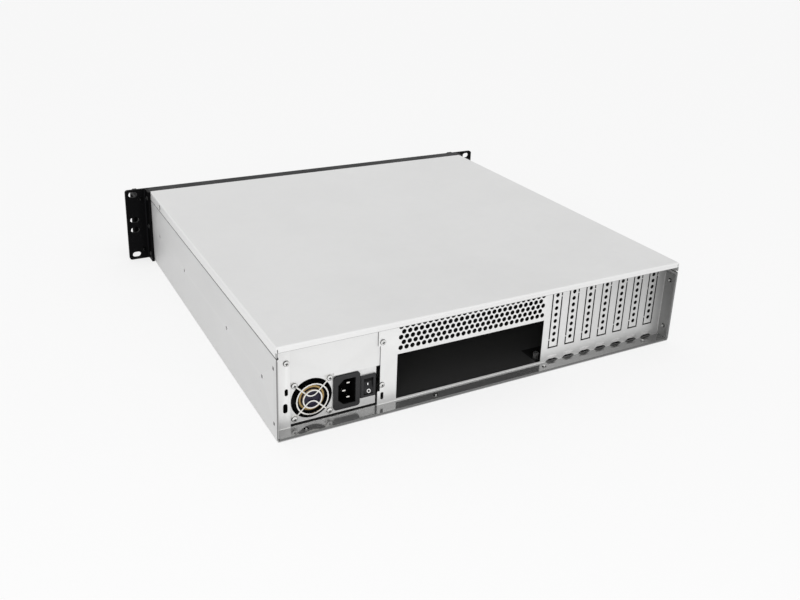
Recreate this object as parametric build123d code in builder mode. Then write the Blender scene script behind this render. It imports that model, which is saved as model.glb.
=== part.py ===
from build123d import *
import os
from math import cos, radians, sin, sqrt

# Two-unit rackmount server case, seen from behind: a folded steel tub under a lift-off cover,
# a recessed vented rear panel, a small power supply, and a black front with rack ears.
# Millimetres, +Z up, front at -Y, rear at +Y, origin at the middle of the underside.

# Case body, folded from sheet steel
case_width = 430.0
case_height = 88.0
case_depth = 420.0
sheet = 1.0
bend = 1.6
overcut = 1.0
wall_lip = 12.0
nose_depth = 12.0

# Top cover
cover_sheet = 1.0
cover_side_flange = 9.6
cover_rear_flange = 5.5
cover_clearance = 0.2
cover_seam = 0.6
cover_corner_notch = 0.9
cover_screw_back = 46.0

# Rear panel, set back between the walls
rear_recess = 14.0
rear_sheet = 1.0
rear_flange = 12.5
rear_top_flange = 9.0
rear_flange_end_drop = 14.5
top_flange_gap = 0.5

# Motherboard back-panel aperture and the vents over it
io_width = 158.75
io_height = 44.45
io_slot_gap = 7.625
io_bottom = 3.9
vent_hole = 4.8
vent_pitch = 5.88
vent_first_row = 5.95
vent_columns = 27
vent_sides = 8

# Expansion slots with break-away covers
slot_count = 7
slot_pitch = 20.32
slots_wall_gap = 12.33
slot_width = 12.25
slot_bottom = 16.1
slot_top_drop = 9.0
slot_gap = 1.5
slot_tie = 1.0
slot_tie_inset = 8.9
slot_hole = 4.4
slot_hole_pitch = 6.86
slot_holes = 8
slot_first_hole = 8.3
tongue_width = 15.6
tongue_offset = 0.4
tongue_rise = 2.9
hood_width = 13.0
hood_gap = 0.2
hood_height = 2.2
hood_bulge = 1.2

# Power supply, a slim unit lying at the +X side
psu_width = 81.0
psu_depth = 150.0
psu_height = 41.4
psu_sheet = 0.6
psu_wall_gap = 16.2
psu_clearance = 0.1
psu_cut_margin = 0.9
psu_cut_left = 1.1
psu_lift = 1.7
psu_cut_top_drop = 10.0
psu_cut_notch = 2.3
psu_notch_low = 15.6
psu_notch_high = 60.0
psu_fan_size = 40.0
psu_fan_thickness = 15.0
psu_fan_opening = 37.4
psu_fan_holes = 32.0
psu_fan_motor = 25.0
psu_fan_mount = 2.2
psu_fan_strut = 2.0
psu_fan_blades = 7
psu_blade_gap = 0.7
psu_vents = 12
psu_vent_pitch = 6.0
psu_vent_width = 2.6
psu_vent_length = 20.0
psu_vent_back = 20.0

# Adapter plate that closes the tall cut-out over the slim supply, and the supply's bracket
plate_sheet = 1.0
plate_margin = 7.5
plate_bottom = 41.0
plate_top_drop = 4.0
plate_relief = 2.8
plate_screw_z = 63.5
plate_lower_screw_z = 21.5
outer_screw_inset = 3.4
inner_screw_inset = 4.2
bracket_depth = 48.0
bracket_back = 12.0
bracket_tab_top = 28.0

# Inlet and rocker switch
inlet_x = 146.0
inlet_z = 23.4
inlet_width = 25.0
inlet_height = 33.2
inlet_flange = 2.0
inlet_body_depth = 20.0
socket_width = 16.4
socket_height = 24.4
socket_depth = 15.0
socket_chamfer = 5.0
switch_x = 125.4
switch_width = 14.6
switch_height = 21.6
bezel_flange = 2.0
bezel_rim = 1.2
inlet_chamfer = 0.6
pin_width = 2.0
pin_thickness = 4.0
pin_length = 13.0
pin_spread = 7.0
pin_offset = 2.0
switch_body_y = 14.0
rocker_width = 8.6
rocker_height = 15.6
rocker_clearance = 0.3
rocker_well = 6.0
rocker_pivot_depth = 2.0
rocker_crown = 3.6
rocker_dish = 1.2
rocker_keel = 2.0
rocker_swing = 0.6
rocker_pin = 2.0
pin_reach = 1.0
pin_play = 0.1
rocker_tilt = 12.0

# Wire guard over the supply's fan
guard_wire = 1.2
guard_outer = 28.6
guard_inner = 16.8
guard_bend = 6.0
guard_sides = 24
guard_eye = 5.6
guard_eye_sides = 8
guard_screw_reach = 4.0

# Rivets, screws and plain holes
shank = 2.8
shank_sides = 6
head_sides = 12
head_taper = 20
rivet_head = 5.6
rivet_head_height = 1.3
screw_head = 5.4
screw_head_height = 1.6
rivet_back = 7.0
rivet_reach = 1.2
bottom_rivet_insets = (28.3, 154.3)
side_rivet_low = 14.5
side_rivet_drop = 22.0
rail_hole = 4.0
rail_holes_front = (37.0, 144.0)
rail_holes_back = (131.0, 35.0)

# Front: rack ears, handles and the black panel
ear_reach = 26.3
ear_sheet = 3.0
ear_leg = 18.0
ear_corner = 3.0
rack_hole_inset = 8.75
rack_hole_end = 5.9
rack_hole_middle = 6.35
rack_slot_length = 10.0
rack_slot_width = 7.0
ear_screw_end = 9.0
ear_screw_back = 12.0
front_sheet = 1.5
front_gap = 1.5
front_return = 14.6
handle_bar = 8.0
handle_reach = 38.0
handle_end = 12.0
handle_corner = 9.0
handle_chamfer = 2.0
handle_offset = 9.4
handle_screw_depth = 6.0

# Front fans and their vent fields
fan_margin = 4.0
fan_thickness = 25.0
fan_rim = 2.0
fan_blade_gap = 1.5
fan_gap = 10.0
fan_cage_gap = 17.0
grille_slot = 4.0
grille_pitch = 8.0
grille_margin = 7.0
grille_slots = 9
fan_motor = 36.0
fan_mount = 3.0
fan_strut = 4.0
fan_blades = 7
fan_screw_inset = 4.25

# Shapes that all the fans share
rotor_gap = 0.3
blade_pitch = 40.0
blade_chord_share = 1.1
blade_sheet = 0.9
blade_root = 2.0
fan_hole = 4.3
fan_hole_sides = 8

# Drive cage and its blanks
cage_wall_gap = 19.0
cage_width = 150.0
cage_board_gap = 25.0
cage_top_gap = 1.0
bay_clearance = 0.3
bay_margin = 3.25
bay_ledge = 1.5
blank_clip = 20.0
blank_clip_height = 16.0
blank_clip_sheet = 1.2
blank_clip_inset = 1.8
blank_chamfer = 0.6
cage_slot_gap = 10.0
cage_slot_margin = 4.0
cage_slot_height = 4.0
cage_slots = 3

# Controls at the front, with their circuit board
controls_wall_gap = 30.0
power_drop = 26.0
power_button = 13.4
reset_drop = 46.0
reset_button_size = 6.6
button_clearance = 0.3
lamp_z = 27.0
lamp = 3.0
lamp_pitch = 11.0
usb_z = 14.5
usb_pitch = 18.0
usb_width = 14.5
usb_height = 7.0
usb_wall = 0.8
usb_back = 1.0
usb_tongue = 11.0
usb_tongue_sheet = 1.8
board_thickness = 1.6
board_stand = 6.0
board_width = 46.0
board_low = 6.0
board_drop = 10.0
board_lap = 4.0
spacer = 3.0
switch_body = 12.0
switch_body_depth = 4.0
switch_well = 3.0
stem_entry = 0.5
button_stem = 5.0
button_proud = 1.0
button_collar = 1.6
button_collar_height = 1.0
lamp_proud = 0.6

# Cross brace and motherboard standoffs
brace_y = -40.0
brace_width = 20.0
brace_depth = 8.0
board_rear_gap = 1.2
board_hole_columns = (16.51, 140.97, 298.45)
board_hole_rows = (10.16, 165.1, 237.49)
board_edge_past_io = 1.3
board_length = 304.8
board_depth = 243.8
io_hole_step = 22.86
standoff_height = 6.5
standoff_across = 5.0
standoff_bore = 2.6

# Directions that holes and fasteners run along
across = (1, 0, 0)
rearwards = (0, 1, 0)
upwards = (0, 0, 1)

# Planes and limits that follow from the sizes
half_width = case_width / 2
rear_y = case_depth / 2
cover_front_y = -case_depth / 2
nose_y = cover_front_y - nose_depth
panel_y = rear_y - rear_recess
wall_top = case_height - cover_sheet
wall_inset = cover_sheet + cover_clearance
flange_low = case_height - cover_side_flange
joggle_top = flange_low - cover_seam
inner_half = half_width - sheet
narrow_half = half_width - wall_inset - sheet
mid_z = case_height / 2
rack_half = half_width + ear_reach
arch_foot = sheet + rear_sheet
rear_flange_end = case_height - rear_flange_end_drop

psu_right = half_width - psu_wall_gap
psu_left = psu_right - psu_width
psu_rear_y = panel_y - rear_sheet - plate_sheet
psu_front_y = psu_rear_y - psu_depth
psu_bottom = arch_foot + psu_lift
psu_top = psu_bottom + psu_height
rocker_pivot_y = psu_rear_y - rocker_pivot_depth
rocker_end = rocker_height / 2 - rocker_swing
psu_fan_x = psu_right - psu_sheet - psu_clearance - psu_fan_size / 2
psu_fan_z = psu_bottom + psu_height / 2

cut_low_x = psu_left - psu_cut_left
cut_high_x = psu_right - psu_cut_margin
notch_x = cut_low_x - psu_cut_notch
psu_cut_top = case_height - psu_cut_top_drop
plate_top = case_height - plate_top_drop
plate_low_x = notch_x - plate_margin
plate_high_x = cut_high_x + plate_margin
outer_screw_x = cut_high_x + outer_screw_inset
inner_screw_x = cut_low_x - inner_screw_inset
plate_screws_xz = (
    (outer_screw_x, plate_screw_z),
    (inner_screw_x, plate_screw_z),
    (inner_screw_x, plate_lower_screw_z),
)

slot_top = case_height - slot_top_drop
slot_low_tie_z = slot_bottom + slot_tie_inset
slot_high_tie_z = slot_top - slot_tie_inset
slots_centre_x = slots_wall_gap + slot_width / 2 + slot_pitch * (slot_count - 1) / 2 - half_width
slot_first_x = slots_centre_x + slot_pitch * (slot_count - 1) / 2 + slot_width / 2
io_centre_x = slot_first_x + io_slot_gap + io_width / 2
io_x = (io_centre_x - io_width / 2, io_centre_x + io_width / 2)
io_top = io_bottom + io_height
vent_row = vent_pitch * sqrt(3) / 2
slot_holes_z = slot_bottom + slot_first_hole + slot_hole_pitch * (slot_holes - 1) / 2
arches_centre_x = slots_centre_x - tongue_offset
flange_y = panel_y + rear_flange
rivet_y = rear_y - rivet_back
bottom_rivets_x = [side * (half_width - inset) for side in (-1, 1) for inset in bottom_rivet_insets]
side_rivets_z = (side_rivet_low, case_height - side_rivet_drop)
rail_holes_y = [cover_front_y + y for y in rail_holes_front] + [rear_y - y for y in rail_holes_back]
top_flange_reach = half_width - wall_inset - wall_lip - top_flange_gap

# Unused mounting slots beside the supply: x, z, width and height of each
spare_slots = (
    (cut_high_x + 3.5, 36.3, 3.0, 6.6),
    (cut_high_x + 4.5, 21.3, 4.0, 9.0),
    (cut_low_x - 4.6, 10.4, 3.0, 7.4),
)

ear_front_y = nose_y - ear_sheet
plate_rear_y = nose_y - front_gap
plate_front_y = plate_rear_y - front_sheet
bulkhead_rear_y = nose_y + sheet
return_end_y = ear_front_y + front_return
ear_screw_y = ear_front_y + ear_screw_back
ear_screws_z = (ear_screw_end, mid_z, case_height - ear_screw_end)
handle_x = half_width + handle_offset
handle_screws_z = (handle_end, case_height - handle_end)
rack_hole_x = rack_half - rack_hole_inset
rack_hole_rises = (rack_hole_middle, mid_z - rack_hole_end)
rack_holes_z = [mid_z + sign * rise for sign in (-1, 1) for rise in rack_hole_rises]

cage_centre_x = half_width - cage_wall_gap - cage_width / 2
bay_width = cage_width - 2 * sheet
bay_height = (case_height - 2 * bay_margin - bay_clearance) / 2
bay_x = (cage_centre_x - bay_width / 2, cage_centre_x + bay_width / 2)
bay_rise = (bay_height + bay_clearance) / 2
bays_z = [mid_z - bay_rise, mid_z + bay_rise]
bays_low = bays_z[0] - bay_height / 2
bays_high = bays_z[1] + bay_height / 2
cage_x = (cage_centre_x - cage_width / 2, cage_centre_x + cage_width / 2)
board_edge_y = panel_y - rear_sheet - board_rear_gap
cage_y = (bulkhead_rear_y, board_edge_y - board_depth - cage_board_gap)
cage_z = (sheet, wall_top - sheet - cage_top_gap)
cage_slot_pitch = (cage_y[1] - cage_y[0] - 2 * cage_slot_margin) / cage_slots
cage_slot = cage_slot_pitch - cage_slot_gap

fan_size = case_height - 2 * fan_margin
fan_opening = fan_size - 2 * fan_rim
fan_screw_spacing = fan_size - 2 * fan_screw_inset
grille_height = fan_size - 2 * grille_margin
middle_fan_x = cage_x[0] - fan_cage_gap - fan_size / 2
fan_centres_x = (middle_fan_x - fan_size - fan_gap, middle_fan_x)

controls_x = controls_wall_gap - half_width
power_z = case_height - power_drop
reset_z = case_height - reset_drop
board_high = case_height - board_drop
board_front_y = bulkhead_rear_y + board_stand
stem_length = board_front_y - switch_body_depth + stem_entry - plate_rear_y - button_clearance
lamps_x = [controls_x - lamp_pitch, controls_x, controls_x + lamp_pitch]
ports_x = [controls_x - usb_pitch / 2, controls_x + usb_pitch / 2]

board_edge_x = io_x[1] + board_edge_past_io - board_length
io_side_rows = (board_hole_rows[0] + io_hole_step, *board_hole_rows[1:])
standoffs_xy = [
    (board_edge_x + column, board_edge_y - row)
    for column, rows in zip(board_hole_columns, (board_hole_rows, board_hole_rows, io_side_rows))
    for row in rows
]

cover_screw_y = cover_front_y + cover_screw_back
cover_screw_z = (flange_low + wall_top) / 2


def block(x, y, z, mode=Mode.ADD):
    """Adds a block to the open part, from its low and high limits along each axis."""
    with Locations(((x[0] + x[1]) / 2, (y[0] + y[1]) / 2, (z[0] + z[1]) / 2)):
        Box(x[1] - x[0], y[1] - y[0], z[1] - z[0], mode=mode)


def window(x, z, mode=Mode.ADD):
    """Adds a rectangle to the open upright sketch, from its low and high limits."""
    with Locations(((x[0] + x[1]) / 2, (z[0] + z[1]) / 2)):
        Rectangle(x[1] - x[0], z[1] - z[0], mode=mode)


def tub_section():
    """Adds the inner cross-section of the tub to the open upright sketch."""
    window((-inner_half, inner_half), (sheet, rear_flange_end))
    window((-narrow_half, narrow_half), (sheet, wall_top - sheet))
    chamfer(vertices().group_by(Axis.Y)[0] + vertices().group_by(Axis.Y)[-1], length=bend - sheet)


def bow(width, rise):
    """Segment of a circle standing on its chord, which is centred on the origin."""
    with BuildSketch() as segment:
        with BuildLine():
            Line((width / 2, 0), (-width / 2, 0))
            ThreePointArc((-width / 2, 0), (0, rise), (width / 2, 0))
        make_face()
    return segment.sketch


def upright(y):
    """Plane across the case at depth y, drawn in X and Z and extruded towards the front."""
    return Plane.XZ.offset(-y)


def facing(x, y, z, direction):
    """Place whose Z axis points along the given direction, its X axis level."""
    level = (0, 1, 0) if direction[0] else (1, 0, 0)
    return Plane(origin=(x, y, z), x_dir=level, z_dir=direction).location


def prism(diameter, sides, length):
    """Prism along Z, centred on the origin."""
    with BuildPart() as solid:
        with BuildSketch():
            RegularPolygon(diameter / 2, sides)
        extrude(amount=length / 2, both=True)
    return solid.part


def round_hole(place, diameter, direction, length):
    """Cuts a round hole centred on a point through the open part."""
    with Locations(facing(*place, direction)):
        Cylinder(diameter / 2, length, mode=Mode.SUBTRACT)


def shank_hole(place, direction, length):
    """Cuts a hole that fits a fastener's shank, centred on a point through the open part."""
    with Locations(facing(*place, direction)):
        add(prism(shank, shank_sides, length), mode=Mode.SUBTRACT)


def fastener(head, head_height, head_sides, length):
    """Rivet or pan-head screw along Z, its head standing on Z = 0 and its shank below it."""
    with BuildPart() as solid:
        with BuildSketch():
            RegularPolygon(head / 2, head_sides)
        extrude(amount=head_height, taper=head_taper)
        with BuildSketch():
            RegularPolygon(shank / 2, shank_sides)
        extrude(amount=-length)
    return solid.part


def screw(length):
    """Screw with the shank that every screw hole of the case fits."""
    return fastener(screw_head, screw_head_height, head_sides, length)


def save(part, name):
    part.label = name
    export_step(part, f"parts/{name}.step")


os.makedirs("parts", exist_ok=True)

# Tub: floor and both walls folded from one sheet, the walls stepped in under the cover's flanges
with BuildPart() as chassis_tub:
    with BuildSketch(upright(rear_y)):
        with BuildLine():
            FilletPolyline(
                (half_width - wall_inset - wall_lip, wall_top),
                (half_width - wall_inset, wall_top),
                (half_width - wall_inset, joggle_top),
                (half_width, joggle_top - wall_inset),
                (half_width, 0),
                (-half_width, 0),
                (-half_width, joggle_top - wall_inset),
                (-(half_width - wall_inset), joggle_top),
                (-(half_width - wall_inset), wall_top),
                (-(half_width - wall_inset - wall_lip), wall_top),
                radius=[bend, 0, 0, bend, bend, 0, 0, bend],
            )
            offset(amount=sheet, side=Side.RIGHT)
        make_face()
    extrude(amount=rear_y - nose_y)
    block(
        (-half_width, half_width),
        (rear_y - cover_sheet - cover_seam, rear_y + overcut),
        (joggle_top, case_height),
        mode=Mode.SUBTRACT,
    )
    for y in rail_holes_y:
        round_hole((0, y, mid_z), rail_hole, across, case_width + overcut)
    for x, y in standoffs_xy:
        round_hole((x, y, 0), standoff_bore, upwards, 4 * sheet)
    for y, z in [(rivet_y, z) for z in side_rivets_z] + [(ear_screw_y, z) for z in ear_screws_z]:
        shank_hole((0, y, z), across, case_width + overcut)
    shank_hole((0, cover_screw_y, cover_screw_z), across, case_width + overcut)
    for x in bottom_rivets_x:
        shank_hole((x, rivet_y, 0), upwards, 4 * sheet)
save(chassis_tub.part, "chassis_tub")

# Top cover: a shallow pan, open at the front, with a short flange along the rear
with BuildPart() as top_cover:
    block((-half_width, half_width), (cover_front_y, rear_y), (flange_low, case_height))
    bent_edges = top_cover.faces().sort_by(Axis.Z)[-1].edges().sort_by(Axis.Y)[1:]
    fillet(bent_edges, radius=bend)
    open_faces = [top_cover.faces().sort_by(Axis.Z)[0], top_cover.faces().sort_by(Axis.Y)[0]]
    offset(amount=-cover_sheet, openings=open_faces)
    rear_reach = half_width - cover_sheet - cover_corner_notch
    block(
        (-rear_reach, rear_reach),
        (rear_y - 2 * cover_sheet, rear_y + overcut),
        (flange_low - overcut, case_height - cover_rear_flange),
        mode=Mode.SUBTRACT,
    )
    for side in (-1, 1):
        notch = sorted((side * rear_reach, side * (half_width - cover_sheet)))
        notch_y = (rear_y - 2 * cover_sheet, rear_y + overcut)
        notch_z = (flange_low - overcut, wall_top - cover_sheet)
        block(notch, notch_y, notch_z, mode=Mode.SUBTRACT)
    shank_hole((0, cover_screw_y, cover_screw_z), across, case_width + overcut)
save(top_cover.part, "top_cover")

# Rear panel: one recessed sheet with the vents, the aperture, the break-away slot covers and the
# supply's cut-out, flanged outwards along the floor and both walls and inwards under the cover
with BuildPart() as rear_panel:
    with BuildSketch(upright(panel_y)):
        tub_section()
    extrude(amount=rear_sheet)
    floor_reach = inner_half - bend
    block((-floor_reach, floor_reach), (panel_y - rear_sheet, flange_y), (sheet, arch_foot))
    for side in (-1, 1):
        flange_x = sorted((side * inner_half, side * (inner_half - rear_sheet)))
        block(flange_x, (panel_y - rear_sheet, flange_y), (sheet + bend, rear_flange_end))
    block(
        (-top_flange_reach, top_flange_reach),
        (panel_y - rear_top_flange, panel_y),
        (wall_top - rear_sheet, wall_top),
    )
    for z in side_rivets_z:
        shank_hole((0, rivet_y, z), across, case_width)
    for x in bottom_rivets_x:
        shank_hole((x, rivet_y, sheet), upwards, 4 * sheet)
    with BuildSketch(Plane.XY.offset(arch_foot + tongue_rise + hood_gap)):
        with Locations((arches_centre_x, panel_y)):
            with GridLocations(slot_pitch, 1, slot_count, 1):
                add(bow(hood_width, hood_bulge))
    extrude(amount=hood_height)
    with BuildSketch(upright(panel_y)) as vents:
        for columns, rows in ((vent_columns, 3), (vent_columns - 1, 2)):
            with Locations((io_centre_x, io_top + vent_first_row + 2 * vent_row)):
                with GridLocations(vent_pitch, 2 * vent_row, columns, rows):
                    RegularPolygon(vent_hole / 2, vent_sides)
    with BuildSketch(upright(panel_y)) as slot_covers:
        with Locations((slots_centre_x, 0)):
            with GridLocations(slot_pitch, 1, slot_count, 1):
                near_gap = (slot_width / 2 - slot_gap, slot_width / 2)
                far_gap = (-slot_width / 2, slot_gap - slot_width / 2)
                window(near_gap, (slot_bottom, slot_low_tie_z))
                window(near_gap, (slot_low_tie_z + slot_tie, slot_top))
                window(far_gap, (slot_bottom, slot_high_tie_z))
                window(far_gap, (slot_high_tie_z + slot_tie, slot_top))
                window((-slot_width / 2, slot_width / 2), (slot_bottom, slot_bottom + slot_gap))
        with Locations((slots_centre_x, slot_holes_z)):
            with GridLocations(slot_pitch, slot_hole_pitch, slot_count, slot_holes):
                RegularPolygon(slot_hole / 2, vent_sides)
    with BuildSketch(upright(panel_y)) as other_openings:
        window(io_x, (io_bottom, io_top))
        with Locations((arches_centre_x, arch_foot)):
            with GridLocations(slot_pitch, 1, slot_count, 1):
                add(bow(tongue_width, tongue_rise))
        window((cut_low_x, cut_high_x), (arch_foot, psu_cut_top))
        window((notch_x, cut_low_x), (psu_notch_low, psu_notch_high))
        with Locations(*plate_screws_xz):
            RegularPolygon(shank / 2, shank_sides)
        for x, z, width, height in spare_slots:
            with Locations((x, z)):
                SlotOverall(height, width, rotation=90)
    extrude(vents.sketch, amount=rear_sheet, mode=Mode.SUBTRACT)
    extrude(slot_covers.sketch, amount=rear_sheet, mode=Mode.SUBTRACT)
    extrude(other_openings.sketch, amount=rear_sheet, mode=Mode.SUBTRACT)
save(rear_panel.part, "rear_panel")

# Rivets through the rear panel's flanges into the floor and the walls, headed on the flange side
with BuildPart() as rear_rivets:
    rivet = fastener(rivet_head, rivet_head_height, head_sides, rivet_reach)
    for x in bottom_rivets_x:
        with Locations(facing(x, rivet_y, arch_foot, upwards)):
            add(rivet)
    for z in side_rivets_z:
        for side in (-1, 1):
            with Locations(facing(side * (inner_half - rear_sheet), rivet_y, z, (-side, 0, 0))):
                add(rivet)
save(rear_rivets.part, "rear_rivets")

# Adapter plate behind the rear panel, closing its cut-out above the slim supply
with BuildPart() as psu_adapter_plate:
    with BuildSketch(upright(panel_y - rear_sheet)):
        window((plate_low_x, plate_high_x), (plate_bottom, plate_top))
        relief_x = (psu_fan_x - psu_fan_size / 2, plate_high_x)
        window(relief_x, (plate_bottom, plate_bottom + plate_relief), mode=Mode.SUBTRACT)
        with Locations(*plate_screws_xz[:2]):
            RegularPolygon(shank / 2, shank_sides, mode=Mode.SUBTRACT)
    extrude(amount=plate_sheet)
save(psu_adapter_plate.part, "psu_adapter_plate")

# Bracket that carries the supply off the floor, with an arm to an upright tab behind the rear panel
with BuildPart() as psu_bracket:
    bracket_x = (plate_low_x, psu_right)
    bracket_y = (psu_rear_y - bracket_back - bracket_depth, psu_rear_y - bracket_back)
    arm_y = (bracket_y[1] - plate_sheet, panel_y - rear_sheet)
    block(bracket_x, bracket_y, (psu_bottom - plate_sheet, psu_bottom))
    block(bracket_x, (bracket_y[0], bracket_y[0] + plate_sheet), (sheet, psu_bottom))
    block(bracket_x, (bracket_y[1] - plate_sheet, bracket_y[1]), (sheet, psu_bottom))
    block((plate_low_x, notch_x), arm_y, (psu_bottom - plate_sheet, psu_bottom))
    block((plate_low_x, notch_x), (psu_rear_y, arm_y[1]), (psu_bottom - plate_sheet, bracket_tab_top))
    shank_hole((inner_screw_x, psu_rear_y, plate_lower_screw_z), rearwards, 6 * plate_sheet)
    with BuildSketch(upright(arm_y[1])):
        with Locations(spare_slots[-1][:2]):
            SlotOverall(spare_slots[-1][3], spare_slots[-1][2], rotation=90)
    extrude(amount=plate_sheet, mode=Mode.SUBTRACT)
save(psu_bracket.part, "psu_bracket")

# Screws through the rear panel into the plate and the bracket's tab
with BuildPart() as plate_screws:
    for x, z in plate_screws_xz:
        with Locations(facing(x, panel_y, z, rearwards)):
            add(screw(rear_sheet + plate_sheet))
save(plate_screws.part, "plate_screws")

# Supply's case: floor, front wall and rear wall, with the fan, inlet and switch openings
with BuildPart() as psu_case:
    case_x = (psu_left + psu_sheet, psu_right - psu_sheet)
    case_z = (psu_bottom, psu_top - psu_sheet)
    block(case_x, (psu_front_y, psu_rear_y), (psu_bottom, psu_bottom + psu_sheet))
    block(case_x, (psu_front_y, psu_front_y + psu_sheet), case_z)
    block(case_x, (psu_rear_y - psu_sheet, psu_rear_y), case_z)
    with BuildSketch(upright(psu_rear_y)):
        with Locations((psu_fan_x, psu_fan_z)):
            Circle(psu_fan_opening / 2)
            with GridLocations(psu_fan_holes, psu_fan_holes, 2, 2):
                RegularPolygon(shank / 2, shank_sides)
        with Locations((inlet_x, inlet_z)):
            Rectangle(inlet_width - 2 * inlet_flange, inlet_height - 2 * inlet_flange)
        with Locations((switch_x, inlet_z)):
            Rectangle(switch_width - 2 * bezel_rim, switch_height - 2 * bezel_rim)
    extrude(amount=psu_sheet, mode=Mode.SUBTRACT)
save(psu_case.part, "psu_case")

# Supply's lid: top and both sides, slotted along its front for the air
with BuildPart() as psu_lid:
    block((psu_left, psu_right), (psu_front_y, psu_rear_y), (psu_bottom, psu_top))
    lid_inside = (psu_bottom - overcut, psu_top - psu_sheet)
    block(case_x, (psu_front_y - overcut, psu_rear_y + overcut), lid_inside, mode=Mode.SUBTRACT)
    with Locations((psu_left + psu_width / 2, psu_front_y + psu_vent_back, psu_top)):
        with GridLocations(psu_vent_pitch, 1, psu_vents, 1):
            Box(psu_vent_width, psu_vent_length, 4 * psu_sheet, mode=Mode.SUBTRACT)
save(psu_lid.part, "psu_lid")


def fan_frame(size, thickness, opening, motor, mount, strut, hole_spacing):
    """Square fan frame lying on Z = 0, with its motor mount and four struts at the bottom."""
    with BuildPart() as frame:
        with BuildSketch():
            Rectangle(size, size)
            Circle(opening / 2, mode=Mode.SUBTRACT)
            with GridLocations(hole_spacing, hole_spacing, 2, 2):
                RegularPolygon(fan_hole / 2, fan_hole_sides, mode=Mode.SUBTRACT)
        extrude(amount=thickness)
        with BuildSketch():
            Circle(motor / 2)
            with PolarLocations((opening + motor) / 4, 4, start_angle=45):
                Rectangle((opening - motor) / 2 + strut / 2, strut)
        extrude(amount=mount)
    return frame.part


def fan_rotor(thickness, hub, tip, blades, mount):
    """Hub and pitched blades of a fan, turning about Z over the frame's motor mount."""
    low = mount + rotor_gap
    depth = thickness - rotor_gap - low
    with BuildPart() as rotor:
        with Locations((0, 0, low)):
            Cylinder(hub / 2, depth, align=(Align.CENTER, Align.CENTER, Align.MIN))
        with Locations((0, 0, low + depth / 2)):
            with PolarLocations((hub + tip) / 4, blades):
                chord = blade_chord_share * depth
                Box((tip - hub) / 2 + blade_root, chord, blade_sheet, rotation=(blade_pitch, 0, 0))
            Cylinder(tip / 2, depth, mode=Mode.INTERSECT)
    return rotor.part


# Supply's fan against its rear wall, the motor mount facing out
psu_fan_place = facing(psu_fan_x, psu_rear_y - psu_sheet, psu_fan_z, (0, -1, 0))
psu_tip = psu_fan_opening - 2 * psu_blade_gap
with BuildPart() as psu_fan_frame:
    with Locations(psu_fan_place):
        add(
            fan_frame(
                psu_fan_size,
                psu_fan_thickness,
                psu_fan_opening,
                psu_fan_motor,
                psu_fan_mount,
                psu_fan_strut,
                psu_fan_holes,
            )
        )
save(psu_fan_frame.part, "psu_fan_frame")
with BuildPart() as psu_fan_rotor:
    with Locations(psu_fan_place):
        add(fan_rotor(psu_fan_thickness, psu_fan_motor, psu_tip, psu_fan_blades, psu_fan_mount))
save(psu_fan_rotor.part, "psu_fan_rotor")

# Wire guard: two bent wires with eyes at the fan's corners, and two rings welded on them
guard_plane = Plane(origin=(psu_fan_x, psu_rear_y, psu_fan_z), x_dir=(1, 0, 0), z_dir=(0, 1, 0))
with BuildPart() as psu_fan_guard:
    with BuildSketch(guard_plane):
        for corner in (-psu_fan_holes / 2, psu_fan_holes / 2):
            with BuildLine():
                FilletPolyline(
                    (-psu_fan_holes / 2, corner),
                    (0, 0),
                    (psu_fan_holes / 2, corner),
                    radius=guard_bend,
                )
            trace(line_width=guard_wire)
        with GridLocations(psu_fan_holes, psu_fan_holes, 2, 2):
            RegularPolygon(guard_eye / 2, guard_eye_sides)
            RegularPolygon(shank / 2, shank_sides, mode=Mode.SUBTRACT)
    extrude(amount=guard_wire)
    with BuildSketch(guard_plane.offset(guard_wire)):
        for ring in (guard_outer, guard_inner):
            RegularPolygon((ring + guard_wire) / 2, guard_sides)
            RegularPolygon((ring - guard_wire) / 2, guard_sides, mode=Mode.SUBTRACT)
    extrude(amount=guard_wire)
save(psu_fan_guard.part, "psu_fan_guard")

# Screws through the guard's eyes into the supply's rear wall
with BuildPart() as guard_screws:
    for x in (psu_fan_x - psu_fan_holes / 2, psu_fan_x + psu_fan_holes / 2):
        for z in (psu_fan_z - psu_fan_holes / 2, psu_fan_z + psu_fan_holes / 2):
            with Locations(facing(x, psu_rear_y + guard_wire, z, rearwards)):
                add(screw(guard_wire + psu_sheet + guard_screw_reach))
save(guard_screws.part, "guard_screws")

# Mains inlet: flange and body round a six-sided socket
with BuildPart() as power_inlet:
    with Locations((inlet_x, psu_rear_y, inlet_z)):
        Box(inlet_width, inlet_flange, inlet_height, align=(Align.CENTER, Align.MIN, Align.CENTER))
        Box(
            inlet_width - 2 * inlet_flange,
            inlet_body_depth,
            inlet_height - 2 * inlet_flange,
            align=(Align.CENTER, Align.MAX, Align.CENTER),
        )
    chamfer(power_inlet.faces().sort_by(Axis.Y)[-1].edges(), length=inlet_chamfer)
    with BuildSketch(upright(psu_rear_y + inlet_flange)):
        with Locations((inlet_x, inlet_z)):
            Rectangle(socket_width, socket_height)
        chamfer(vertices().group_by(Axis.X)[-1], length=socket_chamfer)
    extrude(amount=socket_depth, mode=Mode.SUBTRACT)
save(power_inlet.part, "power_inlet")

# Inlet's three flat pins, the earth pin standing out of line towards the chamfered side
with BuildPart() as inlet_pins:
    pin_back_y = psu_rear_y + inlet_flange - socket_depth
    with Locations(
        (inlet_x - pin_offset, pin_back_y, inlet_z + pin_spread),
        (inlet_x - pin_offset, pin_back_y, inlet_z - pin_spread),
        (inlet_x + pin_offset, pin_back_y, inlet_z),
    ):
        Box(pin_width, pin_length, pin_thickness, align=(Align.CENTER, Align.MIN, Align.CENTER))
save(inlet_pins.part, "inlet_pins")

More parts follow.
